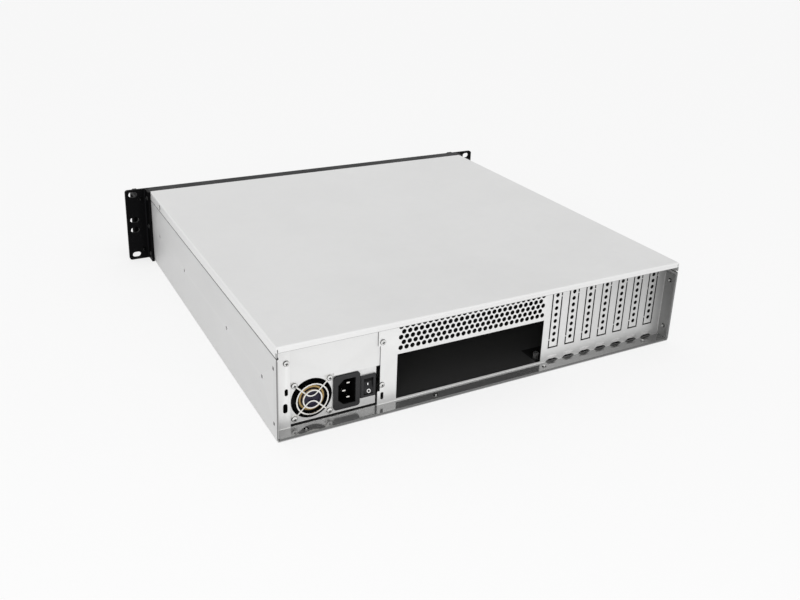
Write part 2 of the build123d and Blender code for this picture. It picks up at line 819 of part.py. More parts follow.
# Rocker switch: a bezel with a well, and the rocker on its pivot, resting tilted
with BuildPart() as switch_bezel:
    with Locations((switch_x, psu_rear_y, inlet_z)):
        Box(switch_width, bezel_flange, switch_height, align=(Align.CENTER, Align.MIN, Align.CENTER))
        Box(
            switch_width - 2 * bezel_rim,
            switch_body_y,
            switch_height - 2 * bezel_rim,
            align=(Align.CENTER, Align.MAX, Align.CENTER),
        )
    chamfer(switch_bezel.faces().sort_by(Axis.Y)[-1].edges(), length=inlet_chamfer)
    with Locations((switch_x, psu_rear_y + bezel_flange, inlet_z)):
        Box(
            rocker_width + 2 * rocker_clearance,
            bezel_flange + rocker_well,
            rocker_height + 2 * rocker_clearance,
            align=(Align.CENTER, Align.MAX, Align.CENTER),
            mode=Mode.SUBTRACT,
        )
    pin_bore = rocker_width + 2 * (rocker_clearance + pin_reach + pin_play)
    round_hole((switch_x, rocker_pivot_y, inlet_z), rocker_pin + 2 * pin_play, across, pin_bore)
save(switch_bezel.part, "switch_bezel")

rocker_turn = radians(rocker_tilt)
rocker_plane = Plane(
    origin=(switch_x, rocker_pivot_y, inlet_z),
    x_dir=(0, cos(rocker_turn), sin(rocker_turn)),
    z_dir=(1, 0, 0),
)
with BuildPart() as switch_rocker:
    with BuildSketch(rocker_plane):
        with BuildLine():
            Polyline(
                (-rocker_keel, 0),
                (0, -rocker_end),
                (rocker_crown, -rocker_end),
                (rocker_crown - rocker_dish, 0),
                (rocker_crown, rocker_end),
                (0, rocker_end),
                close=True,
            )
        make_face()
    extrude(amount=rocker_width / 2, both=True)
    with BuildSketch(rocker_plane):
        RegularPolygon(rocker_pin / 2, head_sides)
    extrude(amount=rocker_width / 2 + rocker_clearance + pin_reach, both=True)
save(switch_rocker.part, "switch_rocker")

# Front bulkhead: steel sheet across the front of the tub, carrying the fans, cage and controls
with BuildPart() as front_bulkhead:
    with BuildSketch(upright(bulkhead_rear_y)):
        tub_section()
        for x in fan_centres_x:
            with Locations((x, mid_z)):
                Circle(fan_opening / 2, mode=Mode.SUBTRACT)
        window(
            (bay_x[0] + bay_ledge, bay_x[1] - bay_ledge),
            (bays_low + bay_ledge, bays_high - bay_ledge),
            mode=Mode.SUBTRACT,
        )
        window(
            (controls_x - board_width / 2 + board_lap, controls_x + board_width / 2 - board_lap),
            (board_low + board_lap, board_high - board_lap),
            mode=Mode.SUBTRACT,
        )
    extrude(amount=sheet)
    block((-floor_reach, cage_x[0]), (nose_y, nose_y + ear_leg), (sheet, 2 * sheet))
    for side in (-1, 1):
        flange_x = sorted((side * inner_half, side * (inner_half - sheet)))
        block(flange_x, (nose_y, nose_y + ear_leg), (sheet + bend, rear_flange_end))
    for z in ear_screws_z[:2]:
        shank_hole((0, ear_screw_y, z), across, case_width)
save(front_bulkhead.part, "front_bulkhead")

# Front panel: black plate flush with the ears, folded back over the top and the floor's edge
with BuildPart() as front_panel:
    with BuildSketch(upright(plate_rear_y)):
        window((-half_width, half_width), (0, case_height))
        for x in fan_centres_x:
            with Locations((x, mid_z)):
                with GridLocations(grille_pitch, 1, grille_slots, 1):
                    Rectangle(grille_slot, grille_height, mode=Mode.SUBTRACT)
        window(
            (bay_x[0] - bay_clearance, bay_x[1] + bay_clearance),
            (bays_low - bay_clearance, bays_high + bay_clearance),
            mode=Mode.SUBTRACT,
        )
        with Locations((controls_x, power_z)):
            Circle(power_button / 2 + button_clearance, mode=Mode.SUBTRACT)
        with Locations((controls_x, reset_z)):
            Circle(reset_button_size / 2 + button_clearance, mode=Mode.SUBTRACT)
        for x in lamps_x:
            with Locations((x, lamp_z)):
                RegularPolygon(lamp / 2 + button_clearance, head_sides, mode=Mode.SUBTRACT)
        for x in ports_x:
            with Locations((x, usb_z)):
                Rectangle(usb_width + 2 * bay_clearance, usb_height + 2 * bay_clearance, mode=Mode.SUBTRACT)
    extrude(amount=front_sheet)
    block((-half_width, half_width), (plate_rear_y, return_end_y), (wall_top, case_height))
    block((-half_width, half_width), (plate_rear_y, nose_y), (0, sheet))
save(front_panel.part, "front_panel")


def rack_ear():
    """Ear on the +X side: a slotted plate in the front plane, with a leg back along the wall."""
    with BuildPart() as ear:
        leg_x = (half_width, half_width + ear_sheet)
        block(leg_x, (ear_front_y, ear_front_y + ear_leg), (0, case_height))
        block((half_width, rack_half), (ear_front_y, nose_y), (0, case_height))
        fillet(ear.edges().filter_by(Axis.Y).group_by(Axis.X)[-1], radius=ear_corner)
        inner_bend = ear.edges().filter_by(Axis.Z).filter_by_position(Axis.Y, nose_y, nose_y)
        fillet(inner_bend.sort_by(Axis.X)[0], radius=bend)
        with BuildSketch(upright(nose_y)):
            for z in rack_holes_z:
                with Locations((rack_hole_x, z)):
                    SlotOverall(rack_slot_length, rack_slot_width)
            for z in handle_screws_z:
                with Locations((handle_x, z)):
                    RegularPolygon(shank / 2, shank_sides)
        extrude(amount=ear_sheet, mode=Mode.SUBTRACT)
        for z in ear_screws_z:
            shank_hole((half_width, ear_screw_y, z), across, 4 * ear_sheet)
    return ear.part


def handle():
    """Bow handle on the +X ear: a square bar bent forwards, screwed on from behind the ear."""
    grip_y = ear_front_y - handle_reach + handle_bar / 2
    with BuildPart() as bow:
        with BuildSketch(Plane.YZ.offset(handle_x - handle_bar / 2)):
            with BuildLine():
                FilletPolyline(
                    (ear_front_y, handle_screws_z[0]),
                    (grip_y, handle_screws_z[0]),
                    (grip_y, handle_screws_z[1]),
                    (ear_front_y, handle_screws_z[1]),
                    radius=handle_corner,
                )
            trace(line_width=handle_bar)
        extrude(amount=handle_bar)
        feet = bow.faces().filter_by_position(Axis.Y, ear_front_y, ear_front_y).edges()
        long_edges = bow.faces().filter_by(Axis.X).edges() - feet
        chamfer(long_edges, length=handle_chamfer)
        for z in handle_screws_z:
            shank_hole((handle_x, ear_front_y, z), rearwards, 2 * handle_screw_depth)
    return bow.part


# Ears, handles and their screws, the same on both sides
with BuildPart() as right_rack_ear:
    add(rack_ear())
save(right_rack_ear.part, "right_rack_ear")
with BuildPart() as left_rack_ear:
    add(mirror(right_rack_ear.part, about=Plane.YZ, mode=Mode.PRIVATE))
save(left_rack_ear.part, "left_rack_ear")

with BuildPart() as right_handle:
    add(handle())
save(right_handle.part, "right_handle")
with BuildPart() as left_handle:
    add(mirror(right_handle.part, about=Plane.YZ, mode=Mode.PRIVATE))
save(left_handle.part, "left_handle")

with BuildPart() as ear_screws:
    for side in (-1, 1):
        for z in ear_screws_z:
            with Locations(facing(side * (half_width + ear_sheet), ear_screw_y, z, (side, 0, 0))):
                add(screw(ear_sheet + 2 * sheet))
save(ear_screws.part, "ear_screws")

with BuildPart() as handle_screws:
    for side in (-1, 1):
        for z in handle_screws_z:
            with Locations(facing(side * handle_x, nose_y, z, rearwards)):
                add(screw(ear_sheet + handle_screw_depth))
save(handle_screws.part, "handle_screws")

with BuildPart() as cover_screws:
    for side in (-1, 1):
        with Locations(facing(side * half_width, cover_screw_y, cover_screw_z, (side, 0, 0))):
            add(screw(cover_sheet + wall_inset))
save(cover_screws.part, "cover_screws")

# Front fans behind the bulkhead, their motor mounts on the inner side
for x, name in zip(fan_centres_x, ("outer", "middle")):
    fan_place = facing(x, bulkhead_rear_y + fan_thickness, mid_z, (0, -1, 0))
    fan_tip = fan_opening - 2 * fan_blade_gap
    with BuildPart() as front_fan_frame:
        with Locations(fan_place):
            add(
                fan_frame(
                    fan_size,
                    fan_thickness,
                    fan_opening,
                    fan_motor,
                    fan_mount,
                    fan_strut,
                    fan_screw_spacing,
                )
            )
    save(front_fan_frame.part, f"{name}_fan_frame")
    with BuildPart() as front_fan_rotor:
        with Locations(fan_place):
            add(fan_rotor(fan_thickness, fan_motor, fan_tip, fan_blades, fan_mount))
    save(front_fan_rotor.part, f"{name}_fan_rotor")

# Drive cage: a folded tube open to the front and the rear, with screw slots along both sides
with BuildPart() as drive_cage:
    block(cage_x, cage_y, cage_z)
    block(
        (cage_x[0] + sheet, cage_x[1] - sheet),
        (cage_y[0] - overcut, cage_y[1] + overcut),
        (cage_z[0] + sheet, cage_z[1] - sheet),
        mode=Mode.SUBTRACT,
    )
    with Locations((cage_centre_x, (cage_y[0] + cage_y[1]) / 2, mid_z)):
        with GridLocations(cage_width, cage_slot_pitch, 1, cage_slots):
            with Locations((0, 0, -bay_rise), (0, 0, bay_rise)):
                Box(cage_width + overcut, cage_slot, cage_slot_height, mode=Mode.SUBTRACT)
save(drive_cage.part, "drive_cage")

# Blanks that fill the two drive bays, each with two clips inside the cage
for z, name in zip(bays_z, ("lower", "upper")):
    with BuildPart() as bay_blank:
        block(bay_x, (plate_front_y, nose_y), (z - bay_height / 2, z + bay_height / 2))
        chamfer(bay_blank.faces().sort_by(Axis.Y)[0].edges(), length=blank_chamfer)
        with Locations((cage_centre_x, nose_y, z)):
            with GridLocations(bay_width - 2 * blank_clip_inset - blank_clip_sheet, 1, 2, 1):
                Box(
                    blank_clip_sheet,
                    blank_clip,
                    blank_clip_height,
                    align=(Align.CENTER, Align.MIN, Align.CENTER),
                )
    save(bay_blank.part, f"{name}_bay_blank")


def push_button(size, z):
    """Button in the front plate: cap, collar behind the plate, and stem into its switch."""
    rising = (Align.CENTER, Align.CENTER, Align.MIN)
    with BuildPart() as button:
        with Locations(facing(controls_x, plate_front_y - button_proud, z, rearwards)):
            Cylinder(size / 2, button_proud + front_sheet + button_clearance, align=rising)
        with Locations(facing(controls_x, plate_rear_y + button_clearance, z, rearwards)):
            Cylinder(size / 2 + button_collar, button_collar_height, align=rising)
            Cylinder(button_stem / 2, stem_length, align=rising)
        chamfer(button.faces().sort_by(Axis.Y)[0].edges(), length=blank_chamfer)
    return button.part


# Power and reset buttons
with BuildPart() as power_button_cap:
    add(push_button(power_button, power_z))
save(power_button_cap.part, "power_button")
with BuildPart() as reset_button_cap:
    add(push_button(reset_button_size, reset_z))
save(reset_button_cap.part, "reset_button")

# Control board on four spacers behind the bulkhead
with BuildPart() as control_board:
    board_x = (controls_x - board_width / 2, controls_x + board_width / 2)
    block(board_x, (board_front_y, board_front_y + board_thickness), (board_low, board_high))
save(control_board.part, "control_board")
with BuildPart() as board_spacers:
    with Locations((controls_x, (bulkhead_rear_y + board_front_y) / 2, (board_low + board_high) / 2)):
        for x in (-board_width / 2 + spacer / 2, board_width / 2 - spacer / 2):
            for z in (-(board_high - board_low) / 2 + spacer, (board_high - board_low) / 2 - spacer):
                with Locations((x, 0, z)):
                    Box(spacer, board_stand, spacer)
save(board_spacers.part, "board_spacers")

# Switches behind the buttons, each with a well for the stem
with BuildPart() as front_switches:
    for z in (power_z, reset_z):
        with Locations((controls_x, board_front_y, z)):
            Box(switch_body, switch_body_depth, switch_body, align=(Align.CENTER, Align.MAX, Align.CENTER))
        well_mouth = (controls_x, board_front_y - switch_body_depth, z)
        round_hole(well_mouth, button_stem + 2 * button_clearance, rearwards, 2 * switch_well)
save(front_switches.part, "front_switches")

# Lamps' light pipes from the board to the front
with BuildPart() as indicator_lamps:
    for x in lamps_x:
        with BuildSketch(Plane.XZ.offset(-board_front_y)):
            with Locations((x, lamp_z)):
                RegularPolygon(lamp / 2, head_sides)
        extrude(amount=board_front_y - plate_front_y + lamp_proud)
save(indicator_lamps.part, "indicator_lamps")

# Ports on the board, each a shell round a tongue
with BuildPart() as front_ports:
    for x in ports_x:
        port_y = (plate_front_y, board_front_y)
        port_z = (usb_z - usb_height / 2, usb_z + usb_height / 2)
        block((x - usb_width / 2, x + usb_width / 2), port_y, port_z)
        block(
            (x - usb_width / 2 + usb_wall, x + usb_width / 2 - usb_wall),
            (port_y[0] - overcut, port_y[1] - usb_back),
            (port_z[0] + usb_wall, port_z[1] - usb_wall),
            mode=Mode.SUBTRACT,
        )
        block(
            (x - usb_tongue / 2, x + usb_tongue / 2),
            (port_y[0] + 1, port_y[1] - usb_back),
            (usb_z - usb_tongue_sheet / 2, usb_z + usb_tongue_sheet / 2),
        )
save(front_ports.part, "front_ports")

# Cross brace under the walls' lips: an inverted channel that stiffens the open tub
with BuildPart() as cross_brace:
    brace_reach = narrow_half - (bend - sheet)
    brace_y_limits = (brace_y - brace_width / 2, brace_y + brace_width / 2)
    block((-brace_reach, brace_reach), brace_y_limits, (wall_top - sheet - brace_depth, wall_top - sheet))
    block(
        (-brace_reach - overcut, brace_reach + overcut),
        (brace_y_limits[0] + sheet, brace_y_limits[1] - sheet),
        (wall_top - sheet - brace_depth - overcut, wall_top - 2 * sheet),
        mode=Mode.SUBTRACT,
    )
save(cross_brace.part, "cross_brace")

# Motherboard standoffs: six-sided posts with a through thread, pressed onto the floor
with BuildPart() as board_standoffs:
    for x, y in standoffs_xy:
        with BuildSketch(Plane.XY.offset(sheet)):
            with Locations((x, y)):
                RegularPolygon(standoff_across / 2, 6, major_radius=False)
                Circle(standoff_bore / 2, mode=Mode.SUBTRACT)
        extrude(amount=standoff_height)
save(board_standoffs.part, "board_standoffs")
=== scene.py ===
import math
from collections import namedtuple

import bmesh
import bpy
from mathutils import Matrix, Vector


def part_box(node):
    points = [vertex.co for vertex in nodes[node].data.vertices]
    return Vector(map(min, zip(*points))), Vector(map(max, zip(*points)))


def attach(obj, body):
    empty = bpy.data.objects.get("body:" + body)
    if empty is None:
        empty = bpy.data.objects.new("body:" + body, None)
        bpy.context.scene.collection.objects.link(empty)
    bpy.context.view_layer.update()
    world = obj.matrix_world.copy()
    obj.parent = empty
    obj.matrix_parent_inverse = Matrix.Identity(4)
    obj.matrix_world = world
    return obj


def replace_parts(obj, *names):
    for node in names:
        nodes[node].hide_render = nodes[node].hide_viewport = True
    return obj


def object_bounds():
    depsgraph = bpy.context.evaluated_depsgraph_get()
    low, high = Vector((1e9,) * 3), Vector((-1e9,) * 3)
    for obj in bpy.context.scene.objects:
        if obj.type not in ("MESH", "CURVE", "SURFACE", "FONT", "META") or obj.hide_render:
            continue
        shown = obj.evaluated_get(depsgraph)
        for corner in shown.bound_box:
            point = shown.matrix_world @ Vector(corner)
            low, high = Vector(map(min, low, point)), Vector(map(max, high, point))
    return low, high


# Rackmount server case seen from behind. Metres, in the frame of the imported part.
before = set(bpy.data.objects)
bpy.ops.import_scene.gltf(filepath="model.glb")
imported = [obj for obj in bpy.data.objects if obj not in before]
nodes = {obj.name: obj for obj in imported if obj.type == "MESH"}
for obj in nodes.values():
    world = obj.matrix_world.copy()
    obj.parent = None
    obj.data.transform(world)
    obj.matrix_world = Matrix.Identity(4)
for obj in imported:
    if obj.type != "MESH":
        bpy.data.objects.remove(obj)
cad_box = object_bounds()

MM = 0.001

# The photograph's camera
CAMERA_PLACE = Vector((0.4260, 0.7880, 0.4219))
CAMERA_YAW = math.radians(-28.82)
CAMERA_PITCH = math.radians(20.16)
CAMERA_ROLL = math.radians(2.08)
CAMERA_SHIFT = -0.1
FOCAL_PIXELS = 874.3
IMAGE_WIDTH = 800
SENSOR = 36.0
CLIP_START = 0.01
CLIP_END = 50

# Floor, sky and lamp
SKY_LEVEL = 0.74
FLOOR_TONE = 0.93
FLOOR_GLOW = 0.75
FLOOR_SIZE = 12.0
FLOOR_GAP = 0.2 * MM
LAMP_PLACE = Vector((0.9, 1.5, 0.5))
LAMP_TARGET = Vector((0, 0.1, 0.04))
LAMP_SIZE = 1.0
LAMP_POWER = 13.5

# Tones of the sheet steel, in linear light
TUB = (0.59, 0.59, 0.588)
COVER = (0.705, 0.705, 0.702)
SHEET = (0.8, 0.8, 0.795)
# SHADED_SHEET is the steel of the parts inside the case, painted dark as their shade
SHADED_SHEET = (0.07, 0.07, 0.069)
PLATE_SHARE = 0.94

# Shares of its tone that a surface keeps where shade is painted on it
INSIDE_TONE = 0.12
HOLE_TONE = 0.06
RECESS_FLOOR_TONE = 0.46
RECESS_WALL_TONE = 0.5
RIM_TONE = 0.3
SEAM_TONE = 0.12
ARCH_TONE = 0.2
FAR_TONE = 0.47
HEM_TONE = 0.5
ROCKER_TOP_TONE = 0.05

# Fasteners: heads in shares of their radius or height
RECESS_SPAN = 0.62
RECESS_WIDTH = 0.17
RECESS_DEPTH = 0.55
RECESS_TAPER = 0.45
RECESS_ABOVE = 1.2
PAN_RIM = 0.3
RIVET_RIM = 0.12
SHANK_SHARE = 0.52
RIVET_WIDTH = 0.8
TURN_STEPS = 32
DOME_STEPS = 6
HEAD_TWIST = 0.4

# Mains inlet
SOCKET = (16.4 * MM, 24.4 * MM)
SOCKET_CHAMFER = 5.0 * MM
SOCKET_DEPTH = 15.0 * MM
INLET_FLANGE = 2.0 * MM
FLANGE_CORNER = 3.0 * MM
FLANGE_RIM = 0.4 * MM
BODY_CORNER = 1.5 * MM
BODY_OVERLAP = 0.2 * MM
BLADE = (3.4 * MM, 1.7 * MM)
BLADE_CORNER = 0.6 * MM
BLADE_TIP = 0.5 * MM

# Motor of the supply's fan: ring, and a cap as (radius, height) points
RING_MIDDLE = 10.7 * MM
RING_HALF = 1.3 * MM
RING_RISE = 0.9 * MM
RING_ARCS = 8
RING_STEPS = 64
CAP_PROFILE = [(8.9 * MM, 0), (8.7 * MM, 0.35 * MM), (7.6 * MM, 0.45 * MM), (5 * MM, 0.2 * MM), (0, 0.05 * MM)]
CAP_STEPS = 48

# Folded edge of the supply's case
EDGE_STRIP = 1.1 * MM
EDGE_OVERLAP = 0.1 * MM
EDGE_BOTTOM = 15.6 * MM
EDGE_TOP_DROP = 0.2 * MM
EDGE_CORNER = 0.3 * MM
EDGE_DEPTH = (3.0 * MM, 0.3 * MM)

# Rocker's marks
MARK_THICKNESS = 0.06 * MM
BAR_SIZE = (0.75 * MM, 3.0 * MM)
RING_RADII = (1.75 * MM, 1.15 * MM)
BAR_DROP = 3.2 * MM
RING_DROP = 1.7 * MM


# Camera
forward = Vector(
    (
        math.sin(CAMERA_YAW) * math.cos(CAMERA_PITCH),
        -math.cos(CAMERA_YAW) * math.cos(CAMERA_PITCH),
        -math.sin(CAMERA_PITCH),
    )
)
level_right = Vector((-math.cos(CAMERA_YAW), -math.sin(CAMERA_YAW), 0))
level_up = level_right.cross(forward)
right = math.cos(CAMERA_ROLL) * level_right + math.sin(CAMERA_ROLL) * level_up
up = math.cos(CAMERA_ROLL) * level_up - math.sin(CAMERA_ROLL) * level_right
camera = bpy.data.objects.new("camera", bpy.data.cameras.new("camera"))
camera.matrix_world = Matrix.Translation(CAMERA_PLACE) @ Matrix((right, up, -forward)).transposed().to_4x4()
camera.data.sensor_width = SENSOR
camera.data.lens = FOCAL_PIXELS * SENSOR / IMAGE_WIDTH
camera.data.shift_y = CAMERA_SHIFT
camera.data.clip_start = CLIP_START
camera.data.clip_end = CLIP_END
bpy.context.scene.collection.objects.link(camera)
bpy.context.scene.camera = camera
bpy.context.scene.view_settings.view_transform = "Standard"


# A box of the frame where shade is painted, with the share of the tone and the roughness inside it, and the
# softness of its faces
Area = namedtuple("Area", "low high share roughness soft", defaults=(0.2 * MM,))


class Tree:
    """Builds the node tree of one material or world."""

    def __init__(self, owner):
        owner.use_nodes = True
        self.tree = owner.node_tree
        self.tree.nodes.clear()

    def add(self, kind, inputs=None, **settings):
        """Adds a node; inputs are numbers, colours or other nodes' output sockets."""
        node = self.tree.nodes.new(kind)
        for name, value in settings.items():
            setattr(node, name, value)
        for name, value in (inputs or {}).items():
            if isinstance(value, bpy.types.NodeSocket):
                self.tree.links.new(value, node.inputs[name])
            else:
                node.inputs[name].default_value = value
        return node

    def ramp(self, factor, *stops):
        """Colour ramp through (position, grey or colour) stops."""
        node = self.add("ShaderNodeValToRGB", {"Fac": factor})
        elements = node.color_ramp.elements
        while len(elements) < len(stops):
            elements.new(0.5)
        for element, (position, colour) in zip(elements, stops):
            element.position = position
            element.color = (*colour, 1) if isinstance(colour, tuple) else (colour, colour, colour, 1)
        return node.outputs["Color"]

    def mix(self, factor, first, second, blend="MIX"):
        node = self.tree.nodes.new("ShaderNodeMix")
        node.data_type = "RGBA"
        node.blend_type = blend
        for name, value in (("Factor", factor), ("A", first), ("B", second)):
            socket = [s for s in node.inputs if s.name == name and s.enabled][0]
            if isinstance(value, bpy.types.NodeSocket):
                self.tree.links.new(value, socket)
            elif name == "Factor":
                socket.default_value = value
            else:
                socket.default_value = (*value, 1)
        return [s for s in node.outputs if s.enabled][0]

    def place(self, stretch=(1, 1, 1)):
        """Coordinates of the frame, stretched for grain that runs one way."""
        where = self.add("ShaderNodeTexCoord").outputs["Object"]
        return self.add("ShaderNodeMapping", {"Vector": where, "Scale": stretch}).outputs["Vector"]

    def noise(self, where, scale, detail=4.0, roughness=0.55):
        settings = {"Vector": where, "Scale": scale, "Detail": detail, "Roughness": roughness}
        return self.add("ShaderNodeTexNoise", settings).outputs["Fac"]

    def bump(self, height, strength, distance, under=None):
        inputs = {"Height": height, "Strength": strength, "Distance": distance}
        if under is not None:
            inputs["Normal"] = under
        return self.add("ShaderNodeBump", inputs).outputs["Normal"]

    def inside(self, area):
        """White inside an area's box of the frame and black outside it; a limit of None is left open."""
        frame_place = self.add("ShaderNodeTexCoord").outputs["Object"]
        where = self.add("ShaderNodeSeparateXYZ", {"Vector": frame_place}).outputs
        white = 1.0
        for axis, limits in zip("XYZ", zip(area.low, area.high)):
            for limit, turn in zip(limits, (area.soft, -area.soft)):
                if limit is not None:
                    reach = {"Value": where[axis], "From Min": limit - turn, "From Max": limit + turn}
                    edge = self.add("ShaderNodeMapRange", reach).outputs["Result"]
                    both = self.add("ShaderNodeMath", {0: white, 1: edge}, operation="MULTIPLY")
                    white = both.outputs["Value"]
        return white

    def painted_shade(self, colour, roughness, areas):
        """Paints shade: darkens a colour inside areas, each with the share of the tone that is left and its
        roughness.
        """
        for area in areas:
            mask = self.inside(area)
            colour = self.mix(mask, colour, self.mix(1.0, colour, (area.share,) * 3, "MULTIPLY"))
            roughness = self.mix(mask, roughness, (area.roughness,) * 3)
        return colour, roughness

    def worn_edges(self, low=0.52, high=0.62):
        """White along the outer edges, black elsewhere."""
        return self.ramp(self.add("ShaderNodeNewGeometry").outputs["Pointiness"], (low, 0.0), (high, 1.0))

    def surface(self, colour, roughness, normal, **constants):
        inputs = {"Base Color": colour, "Roughness": roughness, "Normal": normal}
        for name, value in constants.items():
            inputs[name.replace("_", " ")] = value
        shader = self.add("ShaderNodeBsdfPrincipled", inputs).outputs["BSDF"]
        self.add("ShaderNodeOutputMaterial", {"Surface": shader})
        return shader

    def seen(self):
        """1 for what the camera sees, straight or through mirrors and glass, and 0 for the lighting."""
        rays = self.add("ShaderNodeLightPath").outputs
        total = rays["Is Camera Ray"]
        for kind in ("Is Glossy Ray", "Is Transmission Ray"):
            total = self.add("ShaderNodeMath", {0: total, 1: rays[kind]}, operation="ADD").outputs["Value"]
        return total


def scaled(colour, share):
    return tuple(min(1.0, c * share) for c in colour)


def sheet_steel(name, colour, roughness, metallic, spangle, dull=()):
    """Zinc-coated sheet: faint spangle, fine rolling grain, handling marks, bright cut edges and painted shade
    inside the given areas.
    """
    material = bpy.data.materials.new(name)
    tree = Tree(material)
    crystals = tree.add("ShaderNodeTexVoronoi", {"Vector": tree.place(), "Scale": 140.0}).outputs["Color"]
    crystal_tone = tree.add("ShaderNodeRGBToBW", {"Color": crystals}).outputs["Val"]
    grain = tree.noise(tree.place((40, 900, 900)), 1.0, 5.0)
    marks = tree.noise(tree.place(), 9.0, 6.0, 0.65)
    toned = tree.mix(
        tree.ramp(crystal_tone, (0.1, 0.0), (0.9, spangle)), scaled(colour, 1.03), scaled(colour, 0.93)
    )
    smudged = tree.mix(tree.ramp(marks, (0.42, 0.0), (0.72, 0.22)), toned, scaled(colour, 0.9))
    edged = tree.mix(tree.worn_edges(), smudged, scaled(colour, 1.12))
    rough = tree.mix(tree.ramp(marks, (0.3, 0.0), (0.75, 1.0)), (roughness - 0.06,) * 3, (roughness + 0.08,) * 3)
    edged, rough = tree.painted_shade(edged, rough, dull)
    normal = tree.bump(grain, 0.12, 0.00008, tree.bump(crystal_tone, 0.05, 0.00005))
    tree.surface(edged, rough, normal, Metallic=metallic)
    return material


def powder_coat(name, colour, roughness):
    """Black powder coat: orange peel, dust in the hollows and a slightly rubbed edge."""
    material = bpy.data.materials.new(name)
    tree = Tree(material)
    peel = tree.add("ShaderNodeTexVoronoi", {"Vector": tree.place(), "Scale": 1500.0}).outputs["Distance"]
    dust = tree.noise(tree.place(), 35.0, 6.0, 0.7)
    fine = tree.noise(tree.place(), 1800.0, 2.0)
    dusty = tree.mix(tree.ramp(dust, (0.5, 0.0), (0.85, 0.35)), colour, scaled(colour, 1.9))
    rubbed = tree.mix(tree.worn_edges(0.55, 0.75), dusty, scaled(colour, 3.2))
    rough = tree.mix(tree.ramp(dust, (0.35, 0.0), (0.8, 1.0)), (roughness - 0.07,) * 3, (roughness + 0.1,) * 3)
    normal = tree.bump(peel, 0.25, 0.0001, tree.bump(fine, 0.1, 0.00004))
    tree.surface(rubbed, rough, normal, Specular_IOR_Level=0.05)
    return material


def moulded_plastic(name, colour, roughness, bump=0.15, dull=(), specular=0.5):
    """Moulded plastic: eroded grain, faint flow bands, a paler rubbed edge and painted shade inside the given
    areas.
    """
    material = bpy.data.materials.new(name)
    tree = Tree(material)
    erosion = tree.noise(tree.place(), 2600.0, 3.0)
    flow = tree.noise(tree.place((1, 1, 6)), 60.0, 3.0)
    banded = tree.mix(tree.ramp(flow, (0.35, 0.0), (0.75, 1.0)), colour, scaled(colour, 1.35))
    rubbed = tree.mix(tree.worn_edges(0.56, 0.8), banded, scaled(colour, 2.2))
    rough = tree.mix(tree.ramp(flow, (0.3, 0.0), (0.8, 1.0)), (roughness - 0.05,) * 3, (roughness + 0.07,) * 3)
    rubbed, rough = tree.painted_shade(rubbed, rough, dull)
    tree.surface(rubbed, rough, tree.bump(erosion, bump, 0.00005), Specular_IOR_Level=specular)
    return material


def plated_metal(name, colour, roughness):
    """Bright plating on wire, pins and screws: drawing lines, dull spots and a shade of colour."""
    material = bpy.data.materials.new(name)
    tree = Tree(material)
    lines = tree.noise(tree.place((500, 500, 3000)), 1.0, 3.0)
    spots = tree.noise(tree.place(), 320.0, 5.0, 0.7)
    shaded = tree.mix(tree.ramp(spots, (0.45, 0.0), (0.8, 0.7)), colour, scaled(colour, 0.8))
    rough = tree.mix(tree.ramp(spots, (0.4, 0.0), (0.75, 1.0)), (roughness - 0.04,) * 3, (roughness + 0.14,) * 3)
    tree.surface(shaded, rough, tree.bump(lines, 0.1, 0.00004), Metallic=1.0)
    return material


def board_laminate(name, colour):
    """Lacquered circuit board: copper tracks under the lacquer and pale solder points."""
    material = bpy.data.materials.new(name)
    tree = Tree(material)
    bricks = tree.add(
        "ShaderNodeTexBrick",
        {
            "Vector": tree.place(),
            "Color1": (*colour, 1),
            "Color2": (*scaled(colour, 1.25), 1),
            "Mortar": (*scaled(colour, 1.9), 1),
            "Scale": 160.0,
            "Mortar Size": 0.03,
        },
    ).outputs["Color"]
    clouds = tree.noise(tree.place(), 120.0, 4.0)
    shaded = tree.mix(tree.ramp(clouds, (0.4, 0.0), (0.7, 0.4)), bricks, scaled(colour, 0.7))
    rough = tree.ramp(clouds, (0.3, 0.22), (0.8, 0.38))
    tree.surface(shaded, rough, tree.bump(clouds, 0.08, 0.00005))
    return material


def lamp_plastic(name, colour):
    """Cloudy light pipe with a ground face."""
    material = bpy.data.materials.new(name)
    tree = Tree(material)
    haze = tree.noise(tree.place(), 900.0, 4.0)
    shade = tree.mix(tree.ramp(haze, (0.3, 0.0), (0.8, 1.0)), colour, scaled(colour, 0.8))
    rough = tree.ramp(haze, (0.3, 0.25), (0.8, 0.5))
    tree.surface(shade, rough, tree.bump(haze, 0.1, 0.00005), Transmission_Weight=0.3)
    return material


# Where shade is painted on the bare sheet: inside the case, in holes and seams, and in the rear recess
half_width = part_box("chassis_tub")[1].x
rear_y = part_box("chassis_tub")[1].y
panel_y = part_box("psu_adapter_plate")[1].y + MM
rocker_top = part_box("switch_rocker")[1].z
rivet_low, rivet_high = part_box("rear_rivets")
rivet_y = (rivet_low.y + rivet_high.y) / 2

# Faces of those areas
outer_x = half_width + MM
wall_x = half_width - 0.8 * MM
seam_x = half_width - 2.8 * MM
flange_x = half_width - 2.4 * MM
arches_x = -60 * MM
far_x = -130 * MM
recess_y = panel_y + 0.5 * MM
sheet_y = panel_y - 0.3 * MM
arches_y = panel_y - 0.5 * MM
inside_y = panel_y - 1.5 * MM
supply_y = panel_y - 2.4 * MM
deep_y = panel_y - 30 * MM
rim_y = rear_y - 0.3 * MM
hem_y = rear_y - 1.5 * MM
floor_z = 0.6 * MM
foot_z = 2.2 * MM
flange_z = 2.4 * MM
arches_z = 3 * MM
seam_low_z = 76.9 * MM
seam_high_z = 78.1 * MM
hem_z = 82.85 * MM
recess_top_z = 87 * MM
cover_z = 87.4 * MM
band_z = rocker_top - 4 * MM
# FAR_SOFTNESS is the width of the painted falloff of light towards the panel's far side
FAR_SOFTNESS = 75 * MM
RIVET_LEVELS = (14.5 * MM, 66 * MM)
RIVET_REACH = 1.6 * MM


def both_sides(low, high, *look):
    """An area on the +X side and the same on the -X side."""
    return [Area(low, high, *look), Area((-high[0], *low[1:]), (-low[0], *high[1:]), *look)]
